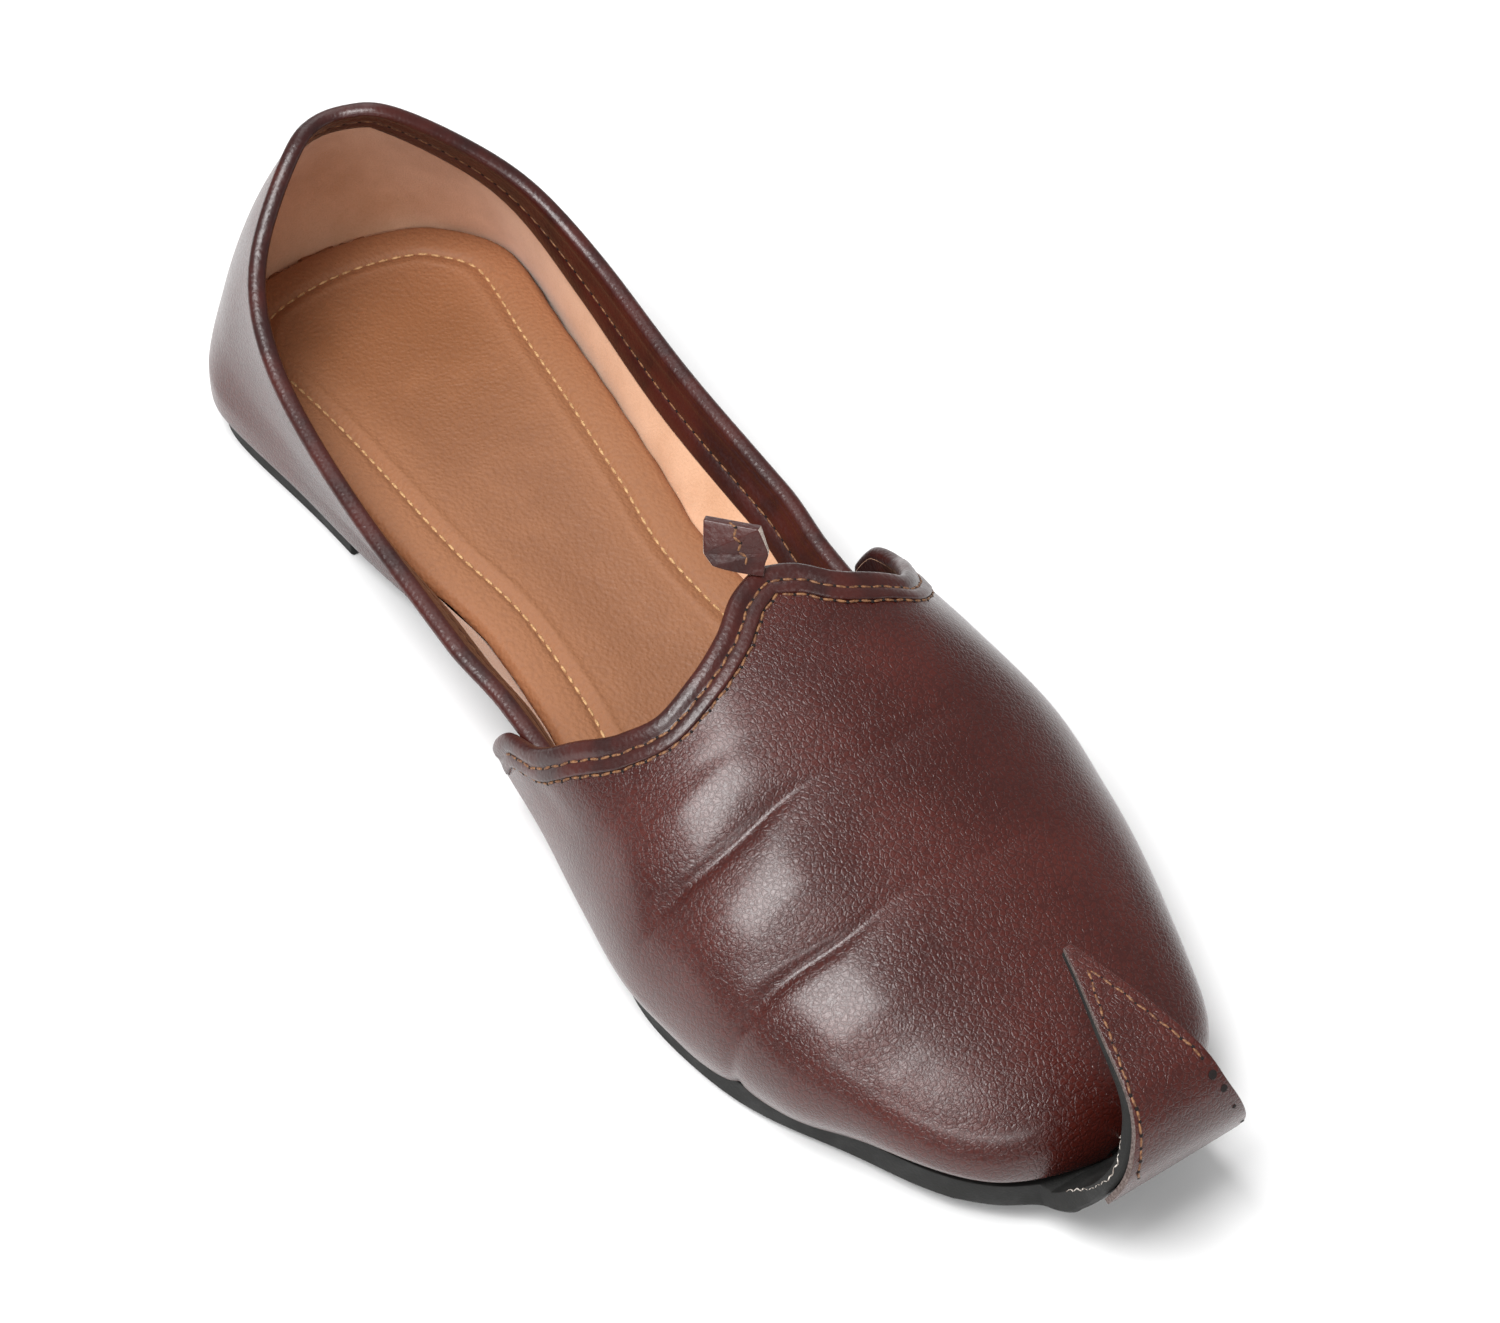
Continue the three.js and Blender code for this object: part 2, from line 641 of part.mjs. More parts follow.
// Tab of two layers of leather that stands on the peak of the throat and leans back.
function throatTabBody() {
  const peak = throatPoint(0);
  const lean = THREE.MathUtils.degToRad(tabLean);
  const up = new THREE.Vector3(-Math.sin(lean), 0, Math.cos(lean));
  const base = peak.clone().addScaledVector(up, beadRise + seat);
  base.y -= tabShift;
  const sections = tabOutline.map(({ up: rise, outer, inner }) => {
    const turn = THREE.MathUtils.degToRad(tabTurn + tabTwist * rise);
    const side = new THREE.Vector3(Math.sin(turn), Math.cos(turn), 0);
    const face = side.clone().cross(up).normalize();
    const centre = base.clone().addScaledVector(up, tabHeight * rise);
    const line = (depth) => [-outer, inner].map((across) => {
      return centre.clone().addScaledVector(side, across).addScaledVector(face, depth);
    });
    return { outer: line(tabThickness / 2), inner: line(-tabThickness / 2) };
  });
  return bodyThrough(sections, true);
}

const parts = {
  upper: [geometryOf(upperSolid), leather],
  outsole: [outsoleBody(), rubber],
  heel: [heelBody(), rubber],
  insole: [insoleBody(), insoleLeather],
  topline_binding: [toplineBindingBody(), edgeLeather],
  throat_binding: [throatBindingBody(), edgeLeather],
  throat_tab: [throatTabBody(), edgeLeather],
  toe_strap: [toeStrapBody(), strapLeather],
};

const shoe = new THREE.Group();
for (const [name, [geometry, material]] of Object.entries(parts)) {
  const mesh = new THREE.Mesh(geometry, material);
  mesh.name = name;
  shoe.add(mesh);
}

// The origin is the middle of the footprint, on the floor.
const box = new THREE.Box3().setFromObject(shoe);
const middle = box.getCenter(new THREE.Vector3());
shoe.position.set(-middle.x, -middle.y, -box.min.z);

export default shoe;
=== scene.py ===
"""A mojari, the right shoe: brown pebbled leather, rolled edges, padded insole, curled nose."""
import math
import bmesh
import bpy
import numpy as np
from mathutils import Matrix, Vector
from mathutils.bvhtree import BVHTree
from mathutils.kdtree import KDTree


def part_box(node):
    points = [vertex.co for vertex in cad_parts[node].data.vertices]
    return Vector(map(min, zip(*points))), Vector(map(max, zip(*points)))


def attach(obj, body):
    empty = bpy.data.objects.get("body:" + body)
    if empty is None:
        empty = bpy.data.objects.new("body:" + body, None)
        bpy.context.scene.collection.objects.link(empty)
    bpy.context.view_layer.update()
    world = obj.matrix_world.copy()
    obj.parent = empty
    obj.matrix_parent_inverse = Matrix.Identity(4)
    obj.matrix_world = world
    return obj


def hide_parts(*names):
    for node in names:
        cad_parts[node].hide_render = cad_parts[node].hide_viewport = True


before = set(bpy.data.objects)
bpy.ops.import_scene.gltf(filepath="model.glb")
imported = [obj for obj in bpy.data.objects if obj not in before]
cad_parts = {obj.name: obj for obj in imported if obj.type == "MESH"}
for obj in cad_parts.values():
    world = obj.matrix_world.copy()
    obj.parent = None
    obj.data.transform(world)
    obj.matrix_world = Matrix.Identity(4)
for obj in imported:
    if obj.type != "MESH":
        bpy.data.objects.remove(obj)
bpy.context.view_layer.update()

# Camera. It stands where the photograph was taken from and is turned to the one shoe, with a
# longer lens, so that the shoe fills the frame. The three directions are the photograph's own.
mm = 0.001
photo_width = 1500
photo_centre = (750, 661.5)
photo_focus = 2900
shoe_pixel = (601, 694)
closer = 1.13
eye = Vector((340.77, -222.41, 474.9)) * mm
photo_right = Vector((0.59003, 0.80587, 0.0495))
photo_down = Vector((0.61595, -0.40965, -0.6729))
photo_forward = Vector((-0.52199, 0.42752, -0.73808))


def sight(pixel):
    """Direction in which a pixel of the photograph was seen."""
    along = (pixel[0] - photo_centre[0]) / photo_focus
    down = (pixel[1] - photo_centre[1]) / photo_focus
    return (photo_forward + along * photo_right + down * photo_down).normalized()


forward = sight(shoe_pixel)
right = (photo_right - forward * photo_right.dot(forward)).normalized()
up = right.cross(forward)
camera = bpy.data.objects.new("camera", bpy.data.cameras.new("camera"))
camera.data.sensor_width = 36
camera.data.lens = 36 * photo_focus / photo_width * closer
camera.matrix_world = Matrix((right, up, -forward)).transposed().to_4x4()
camera.location = eye
bpy.context.scene.collection.objects.link(camera)
bpy.context.scene.camera = camera


# Floor and light. A pale sheet of paper lies under the shoe, a wide soft light hangs over its
# outer side, a weaker one stands behind the heel, and the room gives an even white light.
def rgb(red, green, blue):
    """A colour as seen on a screen, 0 to 255, as the light that it stands for."""
    return tuple((value / 255) ** 2.2 for value in (red, green, blue)) + (1,)


class Tone:
    """An output of a node. Sums, differences, products and absolute values of it add Math nodes."""

    def __init__(self, tree, socket=None):
        self.tree = tree
        self.socket = socket

    def node(self, kind, output, values=(), stops=(), **settings):
        made = self.tree.nodes.new(kind)
        for name, value in settings.items():
            setattr(made, name, value)
        for k, (position, colour) in enumerate(stops):
            ramp = made.color_ramp.elements
            stop = ramp[k] if k < 2 else ramp.new(position)
            stop.position = position
            stop.color = colour
        for key, value in dict(values).items():
            if isinstance(value, Tone):
                self.tree.links.new(value.socket, made.inputs[key])
            else:
                made.inputs[key].default_value = value
        return Tone(self.tree, made.outputs[output])

    def maths(self, operation, *values):
        return self.node("ShaderNodeMath", 0, dict(enumerate(values)), operation=operation)

    def __add__(self, other):
        return self.maths("ADD", self, other)

    def __sub__(self, other):
        return self.maths("SUBTRACT", self, other)

    def __rsub__(self, other):
        return self.maths("SUBTRACT", other, self)

    def __mul__(self, other):
        return self.maths("MULTIPLY", self, other)

    def __abs__(self):
        return self.maths("ABSOLUTE", self)

    __radd__ = __add__
    __rmul__ = __mul__

    def clear(self, low, high, start=0.0, end=1.0):
        """Soft step from start to end as the value goes from low to high."""
        limits = {0: self, 1: low, 2: high, 3: start, 4: end}
        return self.node("ShaderNodeMapRange", 0, limits, interpolation_type="SMOOTHSTEP")

    def blend(self, first, second):
        """Mix of two colours, with this value as the share of the second."""
        return self.node("ShaderNodeMix", 2, {0: self, 6: first, 7: second}, data_type="RGBA")

    def noise(self, place, size, detail=2.0, rough=0.5):
        values = {"Vector": place, "Scale": 1 / size, "Detail": detail, "Roughness": rough}
        return self.node("ShaderNodeTexNoise", 0, values)

    def cells(self, place, size, feature="F1", output=0):
        values = {"Vector": place, "Scale": 1 / size}
        return self.node("ShaderNodeTexVoronoi", output, values, feature=feature)

    def bump(self, height, depth, strength=1.0, under=None):
        values = {"Height": height, "Distance": depth, "Strength": strength}
        if under:
            values["Normal"] = under
        return self.node("ShaderNodeBump", 0, values)


def finish(name, **fixed):
    """New material: it, its Tone for adding nodes, its shader and the place in millimetres."""
    material = bpy.data.materials.new(name)
    material.use_nodes = True
    tone = Tone(material.node_tree)
    shader = material.node_tree.nodes["Principled BSDF"]
    for key, value in fixed.items():
        shader.inputs[key.replace("_", " ").title().replace("Ior", "IOR")].default_value = value
    place = tone.node("ShaderNodeTexCoord", "Object")
    place = tone.node("ShaderNodeMapping", 0, {"Vector": place, "Scale": (1000, 1000, 1000)})
    return material, tone, shader, place


def feed(tone, shader, **flows):
    """Links tones to the shader's sockets."""
    for key, flow in flows.items():
        tone.tree.links.new(flow.socket, shader.inputs[key.replace("_", " ").title()])


def new_piece(name, bm, materials):
    mesh = bpy.data.meshes.new(name)
    bm.to_mesh(mesh)
    bm.free()
    mesh.shade_smooth()
    piece = bpy.data.objects.new(name, mesh)
    bpy.context.scene.collection.objects.link(piece)
    for material in materials:
        mesh.materials.append(material)
    return piece


floor_size = 4.0
room_light = 0.3
paper, tone, shader, place = finish("paper", base_color=(0.9, 0.9, 0.9, 1), roughness=0.8)
bm = bmesh.new()
bmesh.ops.create_grid(bm, x_segments=1, y_segments=1, size=floor_size / 2)
floor = new_piece("floor", bm, [paper])

world = bpy.data.worlds.new("studio")
world.use_nodes = True
world.node_tree.nodes["Background"].inputs["Color"].default_value = (1, 1, 1, 1)
world.node_tree.nodes["Background"].inputs["Strength"].default_value = room_light
bpy.context.scene.world = world
bpy.context.scene.view_settings.view_transform = "Standard"

for name, spot, size, power in (
    ("key_light", (0.05, -0.4, 0.98), (0.56, 0.6), 14.0),
    ("toe_light", (0.64, -0.42, 0.64), (0.9, 0.12), 2.6),
    ("back_light", (-0.75, 0.35, 0.8), (0.5, 0.9), 2.0),
):
    light = bpy.data.objects.new(name, bpy.data.lights.new(name, "AREA"))
    light.data.shape = "RECTANGLE"
    light.data.size, light.data.size_y = size
    light.data.energy = power
    light.location = spot
    light.rotation_euler = (-Vector(spot)).to_track_quat("-Z", "Y").to_euler()
    bpy.context.scene.collection.objects.link(light)


# Vamp, the front of the upper: one piece of brown pebbled leather, lasted over the foot's
# form, lined, and lapped over the quarter. Two deep creases cross it behind the toes.
wall = 2.0
last_length = 268.0
ball_width = 88.0
waist_width = 50.5
heel_width = 72.0
vamp_width = 94.0
instep_height = 57.0
instep_swing = 4.5
toe_swing = 4.6
sole_thickness = 6.4
heel_lift = 6.6
heel_breast = 67.0
arch_length = 95.0
spring_start = 185.0
toe_spring = 6.0
seat = 0.3
heel_inset = 1.2
heel_low, heel_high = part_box("heel")
strap_low, strap_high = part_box("toe_strap")
back_seam = np.array((
    heel_low.x - heel_inset * mm,
    (strap_low.y + strap_high.y) / 2 - toe_swing * mm,
    0,
))


def in_frame(points):
    """Points in millimetres from the back of the heel, in the frame's metres."""
    return np.asarray(points) * mm + back_seam


def table(columns, *rows):
    return dict(zip(columns.split(), np.array(rows, float).T))


def station(at):
    """Angle of a place along the last, so that both ends come out round."""
    return np.arccos(1 - 2 * np.clip(at, 0, 1)) / np.pi


def place_of(angle):
    return (1 - np.cos(np.pi * np.asarray(angle))) / 2


def smoothstep(value, low, high):
    share = np.clip((value - low) / (high - low), 0, 1)
    return share * share * (3 - 2 * share)


def curve(rows, key, column, measure=np.asarray):
    """Smooth curve through the rows of a table that never swings past a row."""
    x = measure(rows[key])
    y = rows[column]
    step = np.diff(x)
    rise = np.diff(y) / step
    before = 2 * step[1:] + step[:-1]
    after = step[1:] + 2 * step[:-1]
    with np.errstate(divide="ignore", invalid="ignore"):
        mean = (before + after) / (before / rise[:-1] + after / rise[1:])
    inner = np.where(rise[:-1] * rise[1:] > 0, mean, 0)
    slope = np.concatenate(([rise[0]], inner, [rise[-1]]))

    def at(value):
        value = np.clip(value, x[0], x[-1])
        i = np.clip(np.searchsorted(x, value) - 1, 0, len(step) - 1)
        t = (value - x[i]) / step[i]
        start = y[i] * (1 + 2 * t) * (1 - t) ** 2 + y[i + 1] * t * t * (3 - 2 * t)
        bend = slope[i] * t * (1 - t) ** 2 - slope[i + 1] * t * t * (1 - t)
        return start + bend * step[i]

    return at


outline = table(
    "at half shift",
    (0, 0, 0),
    (0.0245, 0.711 * heel_width / 2, 0.04 * toe_swing),
    (0.0955, heel_width / 2, 0.17 * toe_swing),
    (0.206, 0.905 * heel_width / 2, 0.02 * toe_swing),
    (0.3455, 1.128 * waist_width / 2, -0.28 * toe_swing),
    (0.4218, waist_width / 2, -0.22 * toe_swing),
    (0.5, 1.06 * waist_width / 2, -0.15 * toe_swing),
    (0.5782, 0.735 * ball_width / 2, -0.15 * toe_swing),
    (0.6545, 0.89 * ball_width / 2, -0.14 * toe_swing),
    (0.727, ball_width / 2, -0.04 * toe_swing),
    (0.794, 0.962 * ball_width / 2, 0.05 * toe_swing),
    (0.9045, 0.69 * ball_width / 2, 0.34 * toe_swing),
    (0.9755, 0.41 * ball_width / 2, 0.76 * toe_swing),
    (1, 0, toe_swing),
)
vamp_form = table(
    "at full ridge",
    (0.4, 0.74 * vamp_width / 2, 1.08 * instep_height),
    (0.5, 0.79 * vamp_width / 2, 1.055 * instep_height),
    (0.5782, 0.865 * vamp_width / 2, 1.005 * instep_height),
    (0.6545, 0.945 * vamp_width / 2, 0.93 * instep_height),
    (0.727, vamp_width / 2, 0.82 * instep_height),
    (0.794, 0.945 * vamp_width / 2, 0.71 * instep_height),
    (0.9045, 0.732 * vamp_width / 2, 0.547 * instep_height),
    (0.9755, 0.5 * vamp_width / 2, 0.43 * instep_height),
    (1, 0, 0.232 * instep_height),
)
throat = table(
    "girth at",
    (0, 0.593), (0.06, 0.602), (0.13, 0.62), (0.22, 0.633), (0.32, 0.639), (0.43, 0.627),
    (0.54, 0.601), (0.64, 0.574), (0.72, 0.536), (0.84, 0.518), (1, 0.512),
)
wing_form = table(
    "girth outer inner",
    (0.2, 0, 0),
    (0.4, 0, -0.016 * vamp_width),
    (0.52, 0.007 * vamp_width, -0.021 * vamp_width),
    (0.62, 0.021 * vamp_width, -0.003 * vamp_width),
    (0.72, 0.028 * vamp_width, 0.028 * vamp_width),
    (0.8, 0.019 * vamp_width, 0.032 * vamp_width),
    (0.9, 0.006 * vamp_width, 0.015 * vamp_width),
    (1, 0, 0),
)
feather_half = curve(outline, "at", "half", station)
centre_shift = curve(outline, "at", "shift", station)
vamp_full = curve(vamp_form, "at", "full", station)
vamp_ridge = curve(vamp_form, "at", "ridge", station)
inner_loop = table(
    "girth back out",
    (0, 0, 0), (0.13, 1.0, 0), (0.22, 2.5, 0), (0.32, 3.5, 0), (0.43, 3.5, 0.4), (0.54, 3.0, 1.8),
    (0.64, 2.0, 2.2), (0.72, 0.6, 1.6), (0.85, 0, 0.4), (1, 0, 0),
)
throat_at = curve(throat, "girth", "at")
loop_back = curve(inner_loop, "girth", "back")
loop_out = curve(inner_loop, "girth", "out")
outer_wing = curve(wing_form, "girth", "outer")
inner_wing = curve(wing_form, "girth", "inner")
roundness = 2.24
full_height = 8.1
full_share = 0.82
toe_round = 25
wing_length = 13


def sole_top(x):
    drop = smoothstep(x, heel_breast, heel_breast + arch_length)
    spring = np.clip((x - spring_start) / (last_length - spring_start), 0, 1) ** 2
    return sole_thickness + heel_lift * (1 - drop) + toe_spring * spring


def rim_at(girth):
    """Where along the last the throat's rim lies; the inner wing's loop reaches further back."""
    reach = np.abs(girth)
    return throat_at(reach) - np.where(girth > 0, loop_back(reach), 0) / last_length


def vamp(angle, girth):
    """Point on the vamp. girth runs from -1, outer side, over the ridge to 1."""
    x = last_length * place_of(angle)
    side = np.sign(girth)
    reach = np.abs(girth)
    foot = sole_top(x) + seat
    full = vamp_full(angle)
    low = foot + full_height * np.sqrt(np.clip((last_length - x) / toe_round, 0, 1))
    ridge = np.maximum(vamp_ridge(angle), low)
    turn = np.clip(reach / full_share, 0, 1) * np.pi / 2
    down = np.clip((reach - full_share) / (1 - full_share), 0, 1)
    y = full * np.sin(turn) ** (2 / roundness) + (feather_half(angle) - full) * down ** 2
    z = low + (ridge - low) * np.clip(np.cos(turn), 0, 1) ** (2 / roundness) + (foot - low) * down
    near = np.exp(-(((x - last_length * rim_at(girth)) / wing_length) ** 2))
    wing = near * np.where(side > 0, inner_wing(reach) + loop_out(reach), outer_wing(reach))
    swing = instep_swing * (1 - smoothstep(x, 0.6 * last_length, 0.95 * last_length))
    middle = centre_shift(angle) + swing * np.cos(reach * np.pi / 2) ** 2
    return np.stack((x, middle + side * (y + wing), z), -1)


def slopes(point_at, a, b):
    """How a point on a surface moves with each of its two measures."""
    tiny = 1e-3
    along_a = (point_at(a + tiny, b) - point_at(a - tiny, b)) / (2 * tiny)
    along_b = (point_at(a, b + tiny) - point_at(a, b - tiny)) / (2 * tiny)
    return along_a, along_b


def unit(vectors):
    return vectors / np.linalg.norm(vectors, axis=-1, keepdims=True)


def vamp_normal(angle, girth):
    return unit(np.cross(*slopes(vamp, angle, np.clip(girth, -0.995, 0.995))))


# Creases: where each lies from the back of the heel, how deep it is on the outer flank and how
# faint it runs on over the ridge. Between them the leather swells.
creases = table("x deep faint", (195.8, 1.5, 0.5), (219.3, 1.35, 0.42))
swells = table("x deep wide", (186, 0.75, 6.0), (207.5, 1.25, 7.0), (231, 0.8, 7.0))
small_folds = table("x y long wide deep", (206, 12, 18, 2.6, 0.25), (183, -22, 13, 2.2, 0.2),
                    (232, 4, 17, 1.8, 0.18), (172, 18, 12, 2.4, 0.2))
flank_low, flank_high = (-47, -38), (-24, -6)
faint_end = (12, 29)


def crease_depth(points):
    """Depth of the creases, less the swell of the leather between them."""
    x, y = points[:, 0], points[:, 1]
    flank = smoothstep(y, *flank_low) * (1 - smoothstep(y, *flank_high))
    over = smoothstep(y, *flank_high) * (1 - smoothstep(y, *faint_end))
    depth = np.zeros(len(points))
    for line, deep, faint in zip(*creases.values()):
        away = x - line - 0.6 * np.sin(0.2 * y + line)
        trough = 0.6 * np.exp(-(away / 1.2) ** 2) + 0.4 * np.exp(-(away / 3.4) ** 2)
        depth += (deep * flank + faint * over) * trough
    for line, deep, wide in zip(*swells.values()):
        depth -= deep * (flank + 0.3 * over) * np.exp(-((x - line) / wide) ** 2)
    for line, middle, half, wide, deep in zip(*small_folds.values()):
        along = (y - middle) / half
        away = (x - line - 0.1 * (y - middle)) / wide
        depth += deep * np.exp(-away ** 2) * np.clip(1 - along ** 2, 0, 1) ** 1.4
    return depth


def grid_piece(name, across, along, place_at, materials, turned=False):
    """Sheet of across by along cells with each corner where place_at(u, v) says, 0 to 1."""
    bm = bmesh.new()
    bmesh.ops.create_grid(bm, x_segments=across, y_segments=along, size=0.5)
    flat = np.array([vert.co for vert in bm.verts]) + 0.5
    for vert, point in zip(bm.verts, in_frame(place_at(flat[:, 0], flat[:, 1]))):
        vert.co = point
    if turned:
        bmesh.ops.reverse_faces(bm, faces=bm.faces)
    return new_piece(name, bm, materials)


def line_with(piece, thickness, lining_slot=1):
    """Gives a sheet its thickness, inwards, with another of its materials on the inside."""
    solid = piece.modifiers.new("thickness", "SOLIDIFY")
    solid.thickness = thickness * mm
    solid.offset = -1
    solid.material_offset = lining_slot


leather_brown = rgb(63, 23, 17)
# Painted shade: the colour that darkens the valleys between the pebbles.
grain_valley_shade = rgb(44, 17, 15)
leather_light = rgb(74, 28, 21)
leather, tone, shader, place = finish(
    "pebbled_leather", coat_weight=0.42, coat_roughness=0.21, specular_ior_level=0.45)
mottle = tone.noise(place, 24, 3)
drift = tone.node("ShaderNodeTexNoise", "Color", {"Vector": place, "Scale": 0.8, "Detail": 1})
skewed = tone.node("ShaderNodeVectorMath", 0, {0: place, 1: drift}, operation="ADD")
pebbles = tone.cells(skewed, 1.1, "DISTANCE_TO_EDGE", "Distance").clear(0, 0.2)
small = tone.cells(skewed, 0.55, "DISTANCE_TO_EDGE", "Distance").clear(0, 0.2)
fine = tone.noise(place, 0.45, 2)
stretched = tone.node("ShaderNodeMapping", 0, {"Vector": place, "Scale": (0.55, 0.09, 0.4)})
wrinkle = tone.noise(stretched, 1.0, 3, 0.6)
wrinkle = abs(wrinkle - 0.5).clear(0.0, 0.05)
colour = mottle.clear(0.35, 0.65).blend(leather_brown, leather_light)
# Painted shade: the valleys between the pebbles are darkened, as if shade lay in them.
colour = ((1.0 - pebbles) * 0.45).blend(colour, grain_valley_shade)
grain = tone.bump(pebbles, 0.2 * mm, 0.34)
grain = tone.bump(small, 0.09 * mm, 0.25, grain)
grain = tone.bump(fine, 0.1 * mm, 0.15, grain)
grain = tone.bump(wrinkle, 0.2 * mm, 0.2, grain)
feed(tone, shader, base_color=colour, roughness=mottle.clear(0.3, 0.7, 0.3, 0.38), normal=grain)

suede_peach = rgb(226, 178, 144)
suede_tan = rgb(198, 146, 110)
suede, tone, shader, place = finish("suede_lining", roughness=0.95, sheen_weight=0.25)
nap = tone.noise(place, 0.5, 3, 0.7)
patches = tone.noise(place, 15, 3)
colour = (patches.clear(0.35, 0.7) * 0.6 + nap.clear(0.4, 0.75) * 0.3).blend(suede_peach, suede_tan)
feed(tone, shader, base_color=colour, normal=tone.bump(nap, 0.3 * mm, 0.5))

vamp_end = 0.985


def vamp_place(u, v):
    girth = 2 * u - 1
    start = station(rim_at(girth))
    angle = start + (vamp_end - start) * v
    points = vamp(angle, girth)
    return points - vamp_normal(angle, girth) * crease_depth(points)[:, None]


vamp_piece = grid_piece("vamp", across=200, along=195, place_at=vamp_place,
                        materials=[leather, suede], turned=True)
line_with(vamp_piece, wall)
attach(vamp_piece, "root")
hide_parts("upper")

# Quarter, the back of the upper: one piece of the same leather round the heel, lined with
# peach suede. Its front ends run in under the wings of the vamp.
topline_width = 74.0
back_height = 61.4
side_height = 30.5
back_lean = 12.5
back_bulge = 2.0
side_bulge = 0.2
belly_low = 0.6
quarter_end = 0.572
wing_tuck = 1.3
wing_tuck_length = 16
topline = table(
    "at half height",
    (0, 0, back_height),
    (0.01, 0.15 * topline_width / 2, 1.004 * back_height),
    (0.0351, 0.3 * topline_width / 2, 1.022 * back_height),
    (0.07, 0.62 * topline_width / 2, 0.85 * back_height),
    (0.1147, 0.84 * topline_width / 2, 0.757 * back_height),
    (0.2321, 0.995 * topline_width / 2, 1.177 * side_height),
    (0.3757, topline_width / 2, side_height),
    (0.5, 1.01 * topline_width / 2, 0.85 * side_height),
    (0.5782, 1.0 * topline_width / 2, 0.76 * side_height),
)
topline_soft = 0.05


def softened(line, odd):
    """Mean of a curve over a short stretch, across the back as well, so that no bend is sharp."""
    steps = np.linspace(-1, 1, 9) * topline_soft
    weights = np.cos(np.linspace(-1, 1, 9) * 1.3)

    def at(value):
        places = [np.asarray(value) + step for step in steps]
        kept = [line(np.abs(spot)) * (np.sign(spot) if odd else 1) for spot in places]
        return sum(w * k for w, k in zip(weights, kept)) / weights.sum()

    return at


topline_half = softened(curve(topline, "at", "half", station), True)
topline_height = softened(curve(topline, "at", "height", station), False)


def quarter(around, rise):
    """Point on the quarter. around: -1 outer end, 0 back, 1 inner end. rise: 0 at the sole."""
    angle = np.abs(around) * station(quarter_end)
    x = last_length * place_of(angle)
    foot = sole_top(x) + seat
    low = feather_half(angle)
    high = topline_half(angle)
    back = np.clip(1 - x / (0.22 * last_length), 0, 1) ** 2
    belly = np.sin(np.pi * np.maximum(rise, 0) ** belly_low)
    sides = side_bulge * np.clip(1 - x / (0.55 * last_length), 0, 1)
    bulge = sides * belly * np.clip(np.minimum(low, high) / 25, 0, 1)
    wing = last_length * throat_at(1)
    tuck = wing_tuck * smoothstep(x, wing - wing_tuck_length, wing) * smoothstep(rise, 0, 0.4)
    y = low + (high - low) * rise + bulge - tuck
    lean = back_lean * rise * (3 * rise - 1) / 2 - back_bulge * belly
    z = foot + (topline_height(angle) - foot) * rise
    return np.stack((x + back * lean, centre_shift(angle) + np.sign(around) * y, z), -1)


def quarter_normal(around, rise):
    normal = -np.cross(*slopes(quarter, around, rise))
    normal[..., 2] = 0
    return unit(normal)


foot_drop = 5.0
foot_drop_end = (62, 125)
foot_flare = 1.0
foot_share = 0.12


def quarter_place(u, v):
    """The quarter, drawn down over the edge of the sole round the heel."""
    around = 2 * u - 1
    rise = np.maximum(v - foot_share, 0) / (1 - foot_share)
    points = quarter(around, rise)
    under = np.clip(1 - v / foot_share, 0, 1)
    drop = foot_drop * (1 - smoothstep(points[:, 0], *foot_drop_end))
    flare = foot_flare * (1 - smoothstep(v, 0.3 * foot_share, 3 * foot_share)) * drop / foot_drop
    points += quarter_normal(around, rise) * flare[:, None]
    points[:, 2] -= under * drop
    return points


quarter_piece = grid_piece("quarter", across=260, along=44, place_at=quarter_place,
                           materials=[leather, suede], turned=True)
line_with(quarter_piece, wall)
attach(quarter_piece, "root")
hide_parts("upper")

# Rolled edges. A strip of thinner leather is sewn on, turned over the cut edge and sewn down:
# round the topline it is a round bead with a flat facing inside, round the throat a flat band.
edge_brown = rgb(68, 28, 23)
edge_dark = rgb(48, 21, 19)
edge_leather, tone, shader, place = finish(
    "edge_leather", coat_weight=0.08, coat_roughness=0.25, specular_ior_level=0.55)
mottle = tone.noise(place, 9, 3)
fine = tone.noise(place, 0.6, 3)
colour = mottle.clear(0.35, 0.7).blend(edge_brown, edge_dark)
rough = fine.clear(0.3, 0.7, 0.3, 0.42)
grain = tone.bump(tone.cells(place, 0.8, "SMOOTH_F1") * -1.0, 0.25 * mm, 0.3)
grain = tone.bump(fine, 0.15 * mm, 0.4, grain)
feed(tone, shader, base_color=colour, roughness=rough, normal=grain)
bead_rise = 1.3
closing_share = 0.012
throat_end = 0.8
throat_blend = 0.08
topline_end = 1.0


def rolled(outer_steps, inner_steps, outside, inside, steps=12):
    """Section of a rolled edge, as depths down from the rim and distances out from the wall."""
    turn = np.linspace(0, np.pi, steps)
    middle = (outside + inside) / 2
    radius = (outside - inside) / 2
    arc = np.stack((-bead_rise * np.sin(turn), middle + radius * np.cos(turn)), -1)
    return np.concatenate((outer_steps, arc, inner_steps)).T


def on_edge(point_at, normal_at, a, b, edge, depth, out):
    """Point at a depth down from the rim of a wall and a distance out from its face."""
    along_a, along_b = slopes(point_at, a, b)
    normal = normal_at(a, b)
    across = unit(np.cross(normal, edge))
    aa = (along_a * along_a).sum(-1)
    ab = (along_a * along_b).sum(-1)
    bb = (along_b * along_b).sum(-1)
    pa = (across * along_a).sum(-1)
    pb = (across * along_b).sum(-1)
    whole = aa * bb - ab * ab
    down = np.maximum(depth, 0)
    c = a + (pa * bb - pb * ab) / whole * down
    d = b + (pb * aa - pa * ab) / whole * down
    past = across * np.minimum(depth, 0)[:, None]
    return point_at(c, d) + past + normal_at(c, d) * np.asarray(out)[:, None]


def throat_place(girth, depth, out):
    def rim(value):
        return vamp(station(rim_at(value)), value)

    edge = rim(girth - throat_blend) - rim(girth + throat_blend)
    start = station(rim_at(girth))
    return on_edge(vamp, vamp_normal, start, girth, edge, depth, out)


